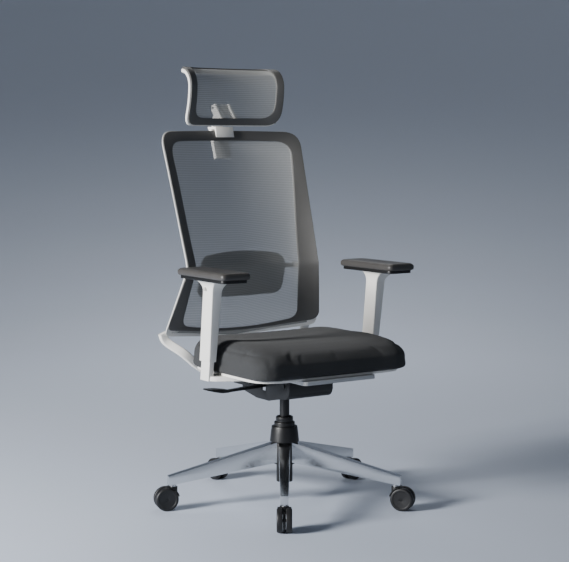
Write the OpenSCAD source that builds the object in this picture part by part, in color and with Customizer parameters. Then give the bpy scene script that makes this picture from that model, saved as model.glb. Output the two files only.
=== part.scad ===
// Task chair with a mesh back, mesh headrest, padded seat and adjustable arms.
// Millimetres. +Z is up, -Y is the way the sitter faces, +X is the sitter's left.
// The origin is where the gas lift's axis meets the floor.

/* [Star base] */
// Lift axis to the square end of a leg
leg_reach = 340; // [320:1:360]
// Direction of the first leg, turned from straight ahead
leg_turn = -33.6; // [-36:0.1:36]
// Leg width at the hub
leg_w_hub = 32; // [28:1:36]
// Leg width at its end
leg_w_end = 21; // [19:1:26]
// Radius of the aluminium hub
hub_r = 29; // [28:0.5:30]

/* [Castors] */
// Wheel diameter
wheel_d = 65; // [60:1:65]
// Lift axis to the castor stem
stem_reach = 326; // [300:1:328]
// Stem axis to wheel axle
trail = 20; // [16:1:22]
// Width over both wheels
castor_w = 41; // [36:1:44]

/* [Gas lift] */
// Outside diameter of the sliding tube
piston_d = 28; // [26:0.5:28]
// Height of the tilt mechanism's lowest point
mech_z = 300; // [296:1:306]

/* [Seat] */
// Width of the cushion at its fullest
seat_w = 516; // [500:2:518]
// Front of the cushion
seat_front = -276; // [-290:1:-260]
// Back of the cushion
seat_rear = 158; // [140:1:162]
// Underside of the seat pan
pan_z = 389.5; // [389:0.5:392]
// Top of the cushion's crown
seat_top = 476; // [465:1:485]

/* [Back] */
// Half width of the back where it is narrowest
waist_w = 224; // [215:1:232]
// Height of the waist, where the back comes furthest forward
waist_z = 663; // [650:1:675]
// Top of the back frame
back_top = 1057; // [1040:1:1065]
// How far the middle of the back lies behind its sides
back_bow = 52; // [35:1:60]
// How far the sides wrap forward round the waist
back_wing = 38; // [0:1:45]

/* [Headrest] */
// Half width of the headrest
head_w = 162; // [140:1:165]
// Length of the headrest's face, measured along its curve
head_len = 220; // [190:1:225]

/* [Arms] */
// Seat centre to arm centre
arm_x = 273; // [270:0.5:276]
// Forward lean of the arm posts
arm_lean = 7.8; // [4:0.1:9]
// Top of the arm pads
pad_top = 680; // [670:1:690]

/* [Hidden] */

white = "#e8e7e1";
dark_rim = "#4a4a48";
fabric = "#3c3d3e";
mesh_grey = "#75797c";
black = "#1b1c1e";
steel = "#a9acb0";
alloy = "#c9ccd0";

// Star base
leg_top_hub = 174;
leg_low_hub = 115;
leg_top_end = 96;
leg_low_end = 70;
tube_r = 25;
tube_r_low = 23;
tube_low = 59;
tube_top = 232;
stem_r = 5.5;
stem_foot_r = 4.2;
wheel_r = wheel_d / 2;
web_w = 8;
axle_r = 4;
wheel_side = 0.5;
// Gas lift
piston_r = piston_d / 2;
piston_low = 130;
piston_top = 350;
rod_r = 5;
cup_z = leg_top_hub + 0.3;
run = 0.05;
bore_play = 0.12;
// Tilt mechanism
housing_w = 73;
main_pivot = [52, 338];
front_pivot = [-105, 352];
pin_r = 6;
lever_pivot = [-62, 341];
// Seat
plate_w = 118;
plate_z = 379;
pan_t = 6.5;
bolt_r = 3;
bolt_spots = [[-90, -200], [90, -200], [-90, 70], [90, 70],
    [-150, -105], [150, -105], [-150, -45], [150, -45]];
// Back
waist_y = 152;
back_up = 0.34;
back_down = -0.35;
side_up = 0.044;
side_down = -0.216;
knee = 12;
rail_low = 436;
corner_z = 466;
corner_x = 266;
lug_x = 176;
lug_z = 652;
// Headrest
head_z = 1066;
head_flat = 115;
head_curl = 54;
head_y = 241;
head_bow = 20;
head_pin = [338, 1121];
post_lean = 18.8;
// Arms
arm_y = -39;
arm_z = 450;
sleeve_top = 656;
pad_gap = 0.3;
pad_x = 90;
pad_front = -190;
pad_rear = 55;

// ---- helpers -------------------------------------------------------------

function unit(v) = v / norm(v);

// A corner at p between a and b, rounded over the length t on each side
function corner(a, p, b, t, n) =
    let (from = p + unit(a - p) * t, to = p + unit(b - p) * t)
    [for (i = [0:n]) let (s = i / n) (1 - s) * (1 - s) * from + 2 * s * (1 - s) * p + s * s * to];

// A closed outline through rounded corners, with k steps along each straight
function outline(pts, round, n, k) =
    let (m = len(pts), c = [for (i = [0:m - 1])
        corner(pts[(i + m - 1) % m], pts[i], pts[(i + 1) % m], round[i], n)])
    [for (i = [0:m - 1]) each concat(c[i],
        [for (j = [1:k - 1]) c[i][n] + (c[(i + 1) % m][0] - c[i][n]) * j / k])];

function quads(rings, k, wrap) =
    let (n = rings)
    [for (i = [0:(wrap ? n - 1 : n - 2)]) for (j = [0:k - 1])
        let (a = i * k + j, b = i * k + (j + 1) % k,
            c = ((i + 1) % n) * k + (j + 1) % k, d = ((i + 1) % n) * k + j)
        each [[a, b, c], [a, c, d]]];

function middle_of(ring) = [for (i = [1:len(ring)]) 1] * ring / len(ring);

// A solid through a row of rings, closed at both ends by a fan about the ring's middle
module skin(rings) {
    k = len(rings[0]);
    n = len(rings);
    polyhedron(concat([for (r = rings) each r], [middle_of(rings[0]), middle_of(rings[n - 1])]),
        concat(quads(n, k, false),
            [for (j = [0:k - 1]) [n * k, (j + 1) % k, j]],
            [for (j = [0:k - 1]) [n * k + 1, (n - 1) * k + j, (n - 1) * k + (j + 1) % k]]));
}

// A closed loop of rings, such as a frame
module hoop(rings) {
    k = len(rings[0]);
    polyhedron([for (r = rings) each r], quads(len(rings), k, true));
}

// A rounded rectangle centred on the origin
module rounded(x, y, r) {
    hull() for (i = [-1, 1]) for (j = [-1, 1])
        translate([i * (x / 2 - r), j * (y / 2 - r)]) circle(r, $fn = 32);
}

module pair_x() {
    children();
    mirror([1, 0, 0]) children();
}

// A cylinder along X from x0 to x1 at a place in the side view
module rod_x(x0, x1, at, r) {
    translate([x0, at[0], at[1]]) rotate([0, 90, 0]) cylinder(h = x1 - x0, r = r, $fn = 64);
}

// A side view, Y to the right and Z up, given thickness from x0 to x1
module side_view(x0, x1) {
    translate([x0, 0, 0]) rotate([90, 0, 90]) linear_extrude(x1 - x0) children();
}

// ---- star base -----------------------------------------------------------

module on_legs() {
    for (i = [0:4]) rotate([0, 0, leg_turn + i * 72 - 90]) children();
}

module leg(grow) {
    intersection() {
        translate([0, 0, 60]) linear_extrude(130) polygon([
            [20, -leg_w_hub / 2 - grow], [leg_reach, -leg_w_end / 2 - grow],
            [leg_reach, leg_w_end / 2 + grow], [20, leg_w_hub / 2 + grow]]);
        rotate([90, 0, 0]) translate([0, 0, -40]) linear_extrude(80) polygon([
            [20, leg_low_hub + 2], [leg_reach, leg_low_end], [leg_reach, leg_top_end],
            [hub_r, leg_top_hub - 1.2], [20, leg_top_hub - 1.2]]);
    }
}

module star_base() {
    color(alloy) difference() {
        union() {
            translate([0, 0, leg_low_hub]) cylinder(h = leg_top_hub - leg_low_hub, r = hub_r, $fn = 96);
            on_legs() leg(0);
        }
        translate([0, 0, leg_low_hub - 1])
            cylinder(h = leg_top_hub - leg_low_hub + 2, r1 = tube_r_low + bore_play, r2 = tube_r + bore_play, $fn = 96);
        on_legs() translate([stem_reach, 0, leg_low_end - 1]) cylinder(h = 21, r = stem_r + 0.02, $fn = 48);
    }
}

module hub_sleeve() {
    color(black) difference() {
        translate([0, 0, leg_low_hub - 4]) cylinder(h = leg_top_hub - leg_low_hub + 4, r = 32, $fn = 96);
        translate([0, 0, leg_low_hub - 5]) cylinder(h = 70, r = hub_r + 0.1, $fn = 96);
        on_legs() translate([20, -leg_w_hub / 2 - 0.2, leg_low_hub - 0.6])
            cube([20, leg_w_hub + 0.4, leg_top_hub - leg_low_hub + 2]);
    }
}

module castor_stems() {
    color(steel) on_legs() translate([stem_reach, 0, 0]) {
        translate([0, 0, 52]) cylinder(h = 15, r = stem_foot_r, $fn = 48);
        translate([0, 0, 66]) cylinder(h = 24, r = stem_r, $fn = 48);
        translate([0, 0, 66]) cylinder(h = 3.8, r = 9, $fn = 48);
    }
}

// One castor, its stem axis on X = stem_reach and rolling outwards along +X
module hood() {
    difference() {
        union() {
            translate([stem_reach, 0, 52]) cylinder(h = 13.7, r = 12.5, $fn = 64);
            translate([stem_reach + trail, web_w / 2, wheel_r]) rotate([90, 0, 0])
                cylinder(h = web_w, r = 27, $fn = 96);
            intersection() {
                translate([stem_reach + trail, castor_w / 2 - 2, wheel_r]) rotate([90, 0, 0])
                    difference() {
                        cylinder(h = castor_w - 4, r = wheel_r + 3.2, $fn = 96);
                        translate([0, 0, -1]) cylinder(h = castor_w, r = wheel_r + 1, $fn = 96);
                    }
                translate([stem_reach - 22, -30, 40]) cube([40, 60, 25.6]);
            }
            translate([stem_reach - 2, -web_w / 2, 40]) cube([22, web_w, 25.6]);
        }
        translate([stem_reach, 0, 51]) cylinder(h = 16, r = stem_foot_r + run, $fn = 48);
        for (s = [-1, 1]) translate([stem_reach + trail, s * (web_w / 2 + wheel_side + 10), wheel_r])
            rotate([90, 0, 0]) cylinder(h = 20, r = wheel_r + 0.9, center = true, $fn = 96);
    }
    translate([stem_reach + trail, castor_w / 2 - 2, wheel_r]) rotate([90, 0, 0])
        cylinder(h = castor_w - 4, r = axle_r, $fn = 48);
}

module wheel(side) {
    w = castor_w / 2 - web_w / 2 - wheel_side;
    translate([stem_reach + trail, side * (web_w / 2 + wheel_side), wheel_r]) rotate([-90 * side, 0, 0])
        rotate_extrude($fn = 96) polygon([
            [axle_r + run, 0], [wheel_r - 1.5, 0], [wheel_r, 1.5], [wheel_r, w - 5],
            for (a = [15:15:75]) [wheel_r - 5 + 5 * cos(a), w - 5 + 5 * sin(a)],
            [wheel_r - 5, w], [wheel_r - 8, w], [wheel_r - 9, w - 1.2], [axle_r + run, w - 1.2]]);
}

module castor_hood(i) {
    color(black) rotate([0, 0, leg_turn + i * 72 - 90]) hood();
}

module castor_wheels(i) {
    color(black) rotate([0, 0, leg_turn + i * 72 - 90]) {
        wheel(1);
        wheel(-1);
    }
}

// ---- gas lift ------------------------------------------------------------

module gas_tube() {
    color(black) rotate_extrude($fn = 96) polygon([
        [6.2, tube_low], [tube_r_low, tube_low], [tube_r_low, leg_low_hub],
        [tube_r, leg_top_hub], [tube_r, tube_top], [piston_r + 3.5, tube_top],
        [piston_r + 3.5, tube_low + 4], [6.2, tube_low + 4]]);
}

module guide_bush() {
    color(black) rotate_extrude($fn = 96) polygon([
        [piston_r + run, 150], [piston_r + 3.48, 150], [piston_r + 3.48, tube_top],
        [tube_r - 1, tube_top], [tube_r - 1, tube_top + 3], [piston_r + run, tube_top + 3]]);
}

module lift_clip() {
    color(steel) difference() {
        translate([0, 0, 57.2]) cylinder(h = 1.6, r = 9, $fn = 48);
        translate([0, 0, 56]) cylinder(h = 4, r = rod_r - 1.2 + run, $fn = 48);
    }
}

module thrust_bearing() {
    color(steel) difference() {
        translate([0, 0, 63.1]) cylinder(h = 5, r = 13, $fn = 64);
        translate([0, 0, 62]) cylinder(h = 7, r = rod_r + run, $fn = 48);
    }
}

module piston_rod() {
    color(steel) rotate_extrude($fn = 48) polygon([
        [0, 55.5], [rod_r - 1.2, 55.5], [rod_r - 1.2, 59.2], [rod_r, 59.2], [rod_r, 68.2],
        [11, 68.2], [11, 76], [rod_r, 76], [rod_r, 200], [piston_r - 2.6, 200],
        [piston_r - 2.6, 210], [0, 210]]);
}

module gas_piston() {
    color(black) rotate_extrude($fn = 96) polygon([
        [rod_r + run, piston_low], [piston_r, piston_low], [piston_r, 318],
        [piston_r - 0.8, piston_top], [2.55, piston_top], [2.55, piston_top - 10],
        [piston_r - 2.5, piston_top - 10], [piston_r - 2.5, piston_low + 12],
        [rod_r + run, piston_low + 12]]);
}

module release_pin() {
    color(steel) translate([0, 0, piston_top - 9]) cylinder(h = 15, r = 2.5, $fn = 48);
}

module cover_cup() {
    color(black) rotate_extrude($fn = 96) polygon([
        [tube_r + 0.3, cup_z], [41.6, cup_z], [39, cup_z + 26], [36.5, cup_z + 43.5],
        [30.2, cup_z + 43.5], [30.2, cup_z + 40], [33.5, cup_z + 39], [35, cup_z + 26],
        [37, cup_z + 4], [tube_r + 0.3, cup_z + 4]]);
}

// A stage of the telescopic cover, resting nested in the one below
module cover_stage(r, low, top, wall) {
    color(black) rotate_extrude($fn = 96) polygon([
        [r - wall, low], [r, low], [r, top - 2], [r - 2, top], [r - wall - 1.5, top],
        [r - wall - 1.5, top - 2], [r - wall, top - 3]]);
}

// ---- tilt mechanism ------------------------------------------------------

module housing_side(inset) {
    polygon([[108 - inset, mech_z + 14 + inset], [30, mech_z + inset], [-30, mech_z + inset],
        [-80, mech_z + 12 + inset], for (a = [250:-20:190])
            [-108 + (26 - inset) * cos(a), mech_z + 40 + (26 - inset) * sin(a)],
        [-134 + inset, 366 + inset * 2], [-70, 366 + inset * 2], [108 - inset, 347 + inset * 2]]);
}

module mech_housing() {
    color(black) difference() {
        union() {
            difference() {
                side_view(-housing_w, housing_w) housing_side(0);
                side_view(-housing_w + 4, housing_w - 4) housing_side(4);
                translate([-60, 56, mech_z - 10]) cube([120, 60, 90]);
                for (s = [-1, 1]) translate([s * housing_w, -150, mech_z - 10]) rotate([0, s * -42, 0])
                    cube([16, 600, 16], center = true);
            }
            translate([0, 0, mech_z]) cylinder(h = 44, r = 23, $fn = 96);
        }
        translate([0, 0, mech_z - 1]) cylinder(h = 19, r = piston_r + 0.02, $fn = 96);
        translate([0, 0, mech_z + 18])
            cylinder(h = 32, r1 = piston_r + 0.02, r2 = piston_r - 0.78, $fn = 96);
        rod_x(-80, 80, main_pivot, pin_r + 0.02);
        rod_x(-80, 80, front_pivot, pin_r + 0.02);
        rod_x(60, 80, [-70, 336], 6 + run);
        rod_x(60, 80, [22, 334], 5 + run);
        translate([-80, -14, 326]) cube([14, 20, 24]);
    }
}

module pivot_pins() {
    color(steel) {
        rod_x(-housing_w - 2, housing_w + 2, main_pivot, pin_r);
        rod_x(-housing_w - 2, housing_w + 2, front_pivot, pin_r);
    }
}

module tilt_spring() {
    turns = 6;
    wire = 2.6;
    coil = 12;
    color(steel) skin([for (i = [0:turns * 14]) let (a = i * 360 / 14, p = i / (turns * 14))
        [for (j = [0:5]) let (b = -j * 60)
            [42 + (coil + wire * cos(b)) * cos(a), -40 - 44 * p + wire * sin(b),
                336 + (coil + wire * cos(b)) * sin(a)]]]);
}

module height_lever() {
    color(black) {
        translate([lever_pivot[0], -9, lever_pivot[1]]) rotate([-90, 0, 0])
            cylinder(h = 10, r = 5, $fn = 48);
        translate([-64, -9, 338]) cube([6, 10, 22]);
        translate([-64, -9, 356.4]) cube([70, 10, 4]);
        translate([0, -10, 0]) rotate([-90, 0, 0]) linear_extrude(12) polygon([
            [-60, -337], [-60, -345], [-110, -344], [-190, -339], [-198, -341], [-198, -333],
            [-190, -332], [-110, -335]]);
        translate([0, -18, 0]) rotate([-90, 0, 0]) linear_extrude(30) polygon([
            [-194, -333], [-194, -340], [-225, -345], [-258, -347], [-262, -344], [-240, -338],
            [-215, -333]]);
    }
}

module tilt_lever() {
    color(black) {
        rod_x(60, 108, [22, 334], 5);
        translate([108, 16, 329]) cube([72, 12, 8]);
        translate([180, 6, 329]) cube([34, 32, 8]);
        translate([52, 17, 329]) cube([8, 10, 10]);
    }
}

module tension_knob() {
    color(black) {
        rod_x(60, 78, [-70, 336], 6);
        difference() {
            rod_x(78, 104, [-70, 336], 18);
            for (a = [0:30:330]) translate([77, -70, 336]) rotate([a, 0, 0])
                translate([0, 19.5, 0]) rotate([0, 90, 0]) cylinder(h = 24, r = 3, $fn = 24);
        }
    }
}

module back_bracket() {
    color(black) difference() {
        union() {
            pair_x() side_view(50, 57) polygon([[42, 330], [60, 324], [122, 324], [122, 348],
                [60, 350], [44, 348]]);
            translate([-57, 120, 322]) cube([114, 62, 28]);
        }
        rod_x(-80, 80, main_pivot, pin_r + run);
        for (s = [-1, 1]) translate([s * 30, 184, 336]) rotate([90, 0, 0]) cylinder(h = 30, r = 3.1, $fn = 32);
    }
}

// ---- seat ----------------------------------------------------------------

module seat_plate() {
    color("#b9bbbb") difference() {
        union() {
            translate([0, -82, plate_z]) linear_extrude(10.3) rounded(2 * plate_w, 386, 12);
            pair_x() side_view(60, 66) polygon([[-122, plate_z + 1], [-88, plate_z + 1], [-96, 343],
                [-114, 343]]);
        }
        rod_x(-80, 80, front_pivot, pin_r + run);
        for (b = bolt_spots) translate([b[0], b[1], 370]) cylinder(h = 30, r = bolt_r + 0.1, $fn = 32);
    }
}

// Plan outline of the seat, moved inwards by an inset
function seat_plan(inset, n) =
    let (w = seat_w / 2 - inset, f = seat_front + inset, b = seat_rear - inset, r = inset * 0.3)
    outline([[-w, f], [w, f], [w, b], [-w, b]], [95 - r, 95 - r, 110 - r, 110 - r], n, 3);

module seat_pan() {
    color(white) difference() {
        translate([0, 0, pan_z]) linear_extrude(pan_t) polygon(seat_plan(17, 10));
        for (b = bolt_spots) translate([b[0], b[1], 380]) cylinder(h = 30, r = bolt_r + 0.1, $fn = 32);
    }
}

// How far the cushion draws in and how high it stands, from its foot to its crown
module seat_cushion() {
    low = pan_z + pan_t + 0.1;
    levels = [[12, 0], [3, 10], [0, 24], [2, 42], [10, 58], [26, 68], [60, 75], [130, seat_top - low]];
    color(fabric) skin([for (l = levels) [for (p = seat_plan(l[0], 6)) [p[0], p[1], low + l[1]]]]);
}

module seat_bolts() {
    color(steel) for (b = bolt_spots) translate([b[0], b[1], 0]) {
        head = abs(b[0]) > plate_w ? 376.9 : plate_z;
        translate([0, 0, head - 3.5]) cylinder(h = 3.5, r = 6, $fn = 32);
        translate([0, 0, head - 1]) cylinder(h = pan_z + pan_t - head + 1, r = bolt_r, $fn = 32);
    }
}

// ---- back ----------------------------------------------------------------

// A line that changes slope smoothly at the waist
function kinked(dz, up, down) =
    dz * (up + down) / 2 + (sqrt(dz * dz + knee * knee) - knee) * (up - down) / 2;

function half_width(z) = waist_w + kinked(z - waist_z, side_up, side_down);

// How far the back lies behind its sides, a share u of the way out to them: flat across
// the middle, with wings that wrap forward round the waist
function bow(u, z) = let (wrap = exp(-pow((z - 700) / 180, 2)))
    (back_bow - (back_wing - 4) * wrap) * (1 - pow(u, 2)) + back_wing * wrap * (1 - pow(u, 8));

// A point of the back, given in front view, a distance d behind its face
function on_back(p, d) =
    [p[0], waist_y + kinked(p[1] - waist_z, back_up, back_down) + bow(p[0] / half_width(p[1]), p[1]) + d, p[1]];

// Front view of the back, moved in by an inset at the sides, top and foot
function back_outline(side, low_side, top, low) =
    let (t = half_width(back_top) - side, w = waist_w - (side + low_side) / 2, c = corner_x - low_side)
    outline([[-c, corner_z + low], [0, rail_low + low * 0.86], [c, corner_z + low], [w, waist_z],
        [t, back_top - 5 - top], [0, back_top - top], [-t, back_top - 5 - top], [-w, waist_z]],
        [24 + low * 0.2, 150, 24 + low * 0.2, 26, 46, 150, 46, 26], 6, 4);

module back_band(outer, inner, front, rear) {
    hoop([for (i = [0:len(outer) - 1]) let (o = outer[i], across = inner[i] - o)
        concat([for (t = [0, 0.35, 0.7, 1]) on_back(o + across * t, front)],
            [for (t = [1, 0.7, 0.35, 0]) on_back(o + across * t, rear)])]);
}

module back_frame() {
    color(white) back_band(back_outline(0, 0, 0, 0), back_outline(28, 58, 27, 22), 5.3, 17);
}

module back_rim() {
    color(dark_rim) back_band(back_outline(2, 2, 2, 19), back_outline(31, 65, 31, 26), -2, 2.7);
}

// A thin panel that follows a curved face, made from shrinking copies of its outline
function panel_rings(edge, centre, at, front, rear) =
    let (steps = [0.1, 0.22, 0.34, 0.46, 0.58, 0.7, 0.8, 0.87, 0.92, 0.96, 1])
    concat([for (s = steps) [for (p = edge) at(centre + (p - centre) * s, front)]],
        [for (i = [1:len(steps)]) [for (p = edge) at(centre + (p - centre) * steps[len(steps) - i], rear)]]);

module back_mesh() {
    color(mesh_grey) skin(panel_rings(back_outline(24, 50, 24, 22), [0, 720],
        function(p, d) on_back(p, d), 3.4, 4.5));
}

// The path of one yoke arm, from the tilt bracket to the corner of the back frame
yoke_path = [[0, 198, 334], [60, 200, 336], [112, 206, 350], [160, 214, 378], [202, 221, 414],
    [238, 256.4, 446], [250, 259.9, 472]];

module yoke_arm() {
    n = len(yoke_path);
    skin([for (i = [0:n - 1])
        let (a = yoke_path[max(i - 1, 0)], b = yoke_path[min(i + 1, n - 1)],
            t = i == 0 ? [1, 0, 0] : unit([b[0] - a[0], 0, b[2] - a[2]]), up = [-t[2], 0, t[0]],
            h = 14 - i * 0.3, d = 8)
        [yoke_path[i] + up * h + [0, -d, 0], yoke_path[i] + up * h + [0, d, 0],
            yoke_path[i] - up * h + [0, d, 0], yoke_path[i] - up * h + [0, -d, 0]]]);
}

module back_yoke() {
    color(white) difference() {
        union() {
            yoke_arm();
            mirror([1, 0, 0]) yoke_arm();
            translate([-58, 182.1, 319]) cube([116, 12, 30]);
        }
        for (s = [-1, 1]) translate([s * 30, 215, 336]) rotate([90, 0, 0])
            cylinder(h = 40, r = 3.1, $fn = 32);
    }
}

module back_screws() {
    color(steel) for (s = [-1, 1]) {
        translate([s * 30, 207.4, 336]) rotate([-90, 0, 0]) cylinder(h = 4, r = 6, $fn = 32);
        translate([s * 30, 208, 336]) rotate([90, 0, 0]) cylinder(h = 45, r = 3, $fn = 32);
    }
}

// ---- lumbar support ------------------------------------------------------

lug_y = on_back([lug_x, lug_z], 33)[1];

module lumbar_lugs() {
    color(white) pair_x() difference() {
        translate([lug_x + 2, lug_y, lug_z - 9]) linear_extrude(18)
            polygon([[0, -13.9], [16, -21.3], [16, 8], [0, 8]]);
        rod_x(lug_x - 1, lug_x + 12, [lug_y, lug_z], 4 + run);
    }
}

module lumbar_carrier() {
    color(black) {
        pair_x() rod_x(lug_x - 6, lug_x + 11, [lug_y, lug_z], 4);
        skin([for (x = [-172:43:172]) let (y = on_back([x, lug_z], 33)[1], t = 10 - abs(x) / 43)
            [[x, y - 3, lug_z + t], [x, y + 6, lug_z + t], [x, y + 6, lug_z - t], [x, y - 3, lug_z - t]]]);
    }
}

function lumbar_edge(inset) = outline([[-148 + inset, 570 + inset], [0, 564 + inset],
    [148 - inset, 570 + inset], [146 - inset, 690 - inset], [0, 706 - inset], [-146 + inset, 690 - inset]],
    [32, 90, 32, 36, 90, 36], 4, 3);

module lumbar_pad() {
    place = function(p, d) on_back(p, d);
    edge = lumbar_edge(0);
    core = lumbar_edge(10);
    mid = [0, 636];
    color(fabric) skin([
        [for (p = core) place(mid + (p - mid) * 0.5, 11)],
        [for (p = core) place(p, 11.5)],
        [for (p = edge) place(p, 16)],
        [for (p = edge) place(p, 21)],
        [for (p = core) place(p, 25.5)],
        [for (p = core) place(mid + (p - mid) * 0.5, 25.5)]]);
}

// ---- headrest ------------------------------------------------------------

clip_y = on_back([0, back_top], 0)[1];

module headrest_clip() {
    color(white) difference() {
        union() {
            side_view(-30, 30) polygon([[clip_y - 18, back_top - 23], [clip_y - 12, back_top - 23],
                [clip_y - 4, back_top + 0.6], [clip_y + 34, back_top + 0.6],
                [clip_y + 34, back_top + 7.5], [clip_y - 10, back_top + 7.5]]);
            translate([-27, clip_y - 9, back_top - 84]) rotate([-post_lean, 0, 0]) cube([54, 14, 93]);
        }
        translate([-17.3, clip_y - 6, back_top - 84]) rotate([-post_lean, 0, 0])
            translate([0, 0, -10]) cube([34.6, 8.6, 160]);
    }
}

// Side view of the stem: t along it from its socket's foot, d behind its front face
function stem_at(t, d) = [clip_y - 5.7 + t * sin(post_lean) + d * cos(post_lean),
    back_top - 84 + t * cos(post_lean) - d * sin(post_lean)];

module headrest_stem() {
    color(white) difference() {
        union() {
            side_view(-17, 17) polygon([stem_at(12, 0), stem_at(12, 8), stem_at(108, 8),
                head_pin + [9, 3], head_pin - [9, 3], stem_at(100, 0)]);
            rod_x(-17, 17, head_pin, 9.4);
        }
        rod_x(-30, 30, head_pin, 4 + run);
    }
}

module headrest_pin() {
    color(steel) rod_x(-31, 31, head_pin, 4);
}

// A point of the headrest: x across, l along its curve from the foot, d behind its face
function on_head(p, d) =
    let (l = p[1], a = max(0, (l - head_flat) / head_curl * 180 / PI),
        low = min(l, head_flat) - head_flat,
        y = head_y + 0.0024 * low * low + head_curl * (1 - cos(a)),
        z = head_z + min(l, head_flat) + head_curl * sin(a))
    [p[0], y + head_bow * (1 - pow(p[0] / head_w, 2)) + d * cos(a), z - d * sin(a)];

function head_outline(side, top, low) =
    let (w = head_w - side)
    outline([[-w, low], [w, low], [w, head_len - top], [-w, head_len - top]],
        [30, 30, 34, 34], 6, 13);

module head_band(outer, inner, front, rear) {
    hoop([for (i = [0:len(outer) - 1])
        [on_head(outer[i], front), on_head(inner[i], front), on_head(inner[i], rear),
            on_head(outer[i], rear)]]);
}

module headrest_frame() {
    color(white) {
        head_band(head_outline(0, 0, 0), head_outline(22, 12, 18), 4.2, 15);
        difference() {
            pair_x() side_view(17.6, 29) polygon([[300, 1069], [305, 1068], [350, 1110], [350, 1128],
                [332, 1133], [290, 1086]]);
            rod_x(-32, 32, head_pin, 4 + run);
        }
    }
}

module headrest_rim() {
    color(dark_rim) head_band(head_outline(3, 3, 3), head_outline(26, 14, 23), -2, 1.4);
}

module headrest_mesh() {
    color(mesh_grey) skin(panel_rings(head_outline(18, 9, 15), [0, head_len / 2],
        function(p, d) on_head(p, d), 2.2, 3.2));
}

// ---- arms ----------------------------------------------------------------

// Everything an arm carries is drawn upright at its post's foot, then leaned
module lean() {
    translate([arm_x, arm_y, arm_z]) rotate([arm_lean, 0, 0]) children();
}

post_x = 14;
post_y = 43;
sleeve_cut = sleeve_top - 5;
flare_h = 34;
flare_out = 21;
flare_in = 13;
flare_front = 50;
flare_rear = 24;

module arm_bracket() {
    color(white) difference() {
        union() {
            translate([0, 0, 377]) linear_extrude(12.3) polygon([[278, -46], [278, -11], [262, -4],
                [215, -20], [128, -24], [128, -126], [160, -126], [262, -70], [272, -62]]);
            intersection() {
                lean() translate([-post_x / 2, -post_y / 2, -100]) cube([post_x, post_y, 250]);
                translate([0, -200, 376]) cube([400, 400, 300]);
            }
        }
        for (b = bolt_spots) translate([b[0], b[1], 370]) cylinder(h = 30, r = bolt_r + 0.1, $fn = 32);
    }
}

// Section of the sleeve at a height: a rectangle with small chamfers, grown by g of the flare
function sleeve_ring(z, hx, hy, g) =
    let (y = arm_y - (z - arm_z) * tan(arm_lean), c = 3, x0 = arm_x - hx - flare_in * g,
        x1 = arm_x + hx + flare_out * g, y0 = y - hy - flare_front * g, y1 = y + hy + flare_rear * g)
    [[x0 + c, y0, z], [x1 - c, y0, z], [x1, y0 + c, z], [x1, y1 - c, z],
        [x1 - c, y1, z], [x0 + c, y1, z], [x0, y1 - c, z], [x0, y0 + c, z]];

// A straight taper, then a quarter-round flare up to the plate
module sleeve_body() {
    neck = sleeve_cut - flare_h;
    skin(concat([sleeve_ring(arm_z - 21, 11.5, 26.7, 0)],
        [for (a = [0:15:75]) sleeve_ring(neck + flare_h * sin(a), 15.5, 25, 1 - cos(a))],
        [sleeve_ring(sleeve_cut - 1.2, 15.5, 25, 0.9), sleeve_ring(sleeve_cut, 15.5, 25, 0.9)]));
}

module arm_sleeve() {
    color(white) difference() {
        sleeve_body();
        lean() translate([-post_x / 2 - 0.35, -post_y / 2 - 0.35, -45]) cube([post_x + 0.7, post_y + 0.7, 236]);
        arm_turn_pin(3 + run, sleeve_top - 16);
        arm_button_shape(run, 2);
    }
}

pad_centre = arm_y - (sleeve_top - arm_z) * tan(arm_lean);

module arm_turn_pin(r, low) {
    translate([arm_x, pad_centre, low]) cylinder(h = sleeve_top - 4 - low, r = r, $fn = 48);
}

module arm_button_shape(grow, deeper) {
    translate([arm_x + 5 - deeper, pad_centre + 12, 628]) rotate([0, 90, 0])
        cylinder(h = 17 + deeper + grow * 20, r = 5 + grow, $fn = 48);
}

module arm_button() {
    color("#c9c8c3") intersection() {
        arm_button_shape(0, -4.5);
        translate([arm_x, pad_centre - 20, 600]) cube([22, 60, 60]);
    }
}

module arm_base() {
    color(black) {
        translate([arm_x, (pad_front + pad_rear) / 2, sleeve_top - 5 + pad_gap])
            linear_extrude(8) rounded(80, 230, 12);
        translate([arm_x - 10, pad_centre - 55, sleeve_top + 2]) cube([20, 110, 5]);
        arm_turn_pin(3, sleeve_top - 14);
    }
}

module arm_pad() {
    low = sleeve_top + 3 + 2 * pad_gap;
    color(fabric) difference() {
        translate([arm_x, (pad_front + pad_rear) / 2, 0]) skin([for (l = [[5, 0], [0, 3], [0, 13],
            [6, pad_top - low]]) [for (p = outline([[-pad_x / 2 + l[0], -122.5 + l[0]],
                [pad_x / 2 - l[0], -122.5 + l[0]], [pad_x / 2 - l[0], 122.5 - l[0]],
                [-pad_x / 2 + l[0], 122.5 - l[0]]], [13, 13, 13, 13], 5, 3)) [p[0], p[1], low + l[1]]]]);
        translate([arm_x - 10.4, pad_centre - 55 - 26, low - 1]) cube([20.8, 162, 5.4]);
    }
}

// ---- drawing -------------------------------------------------------------

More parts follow.
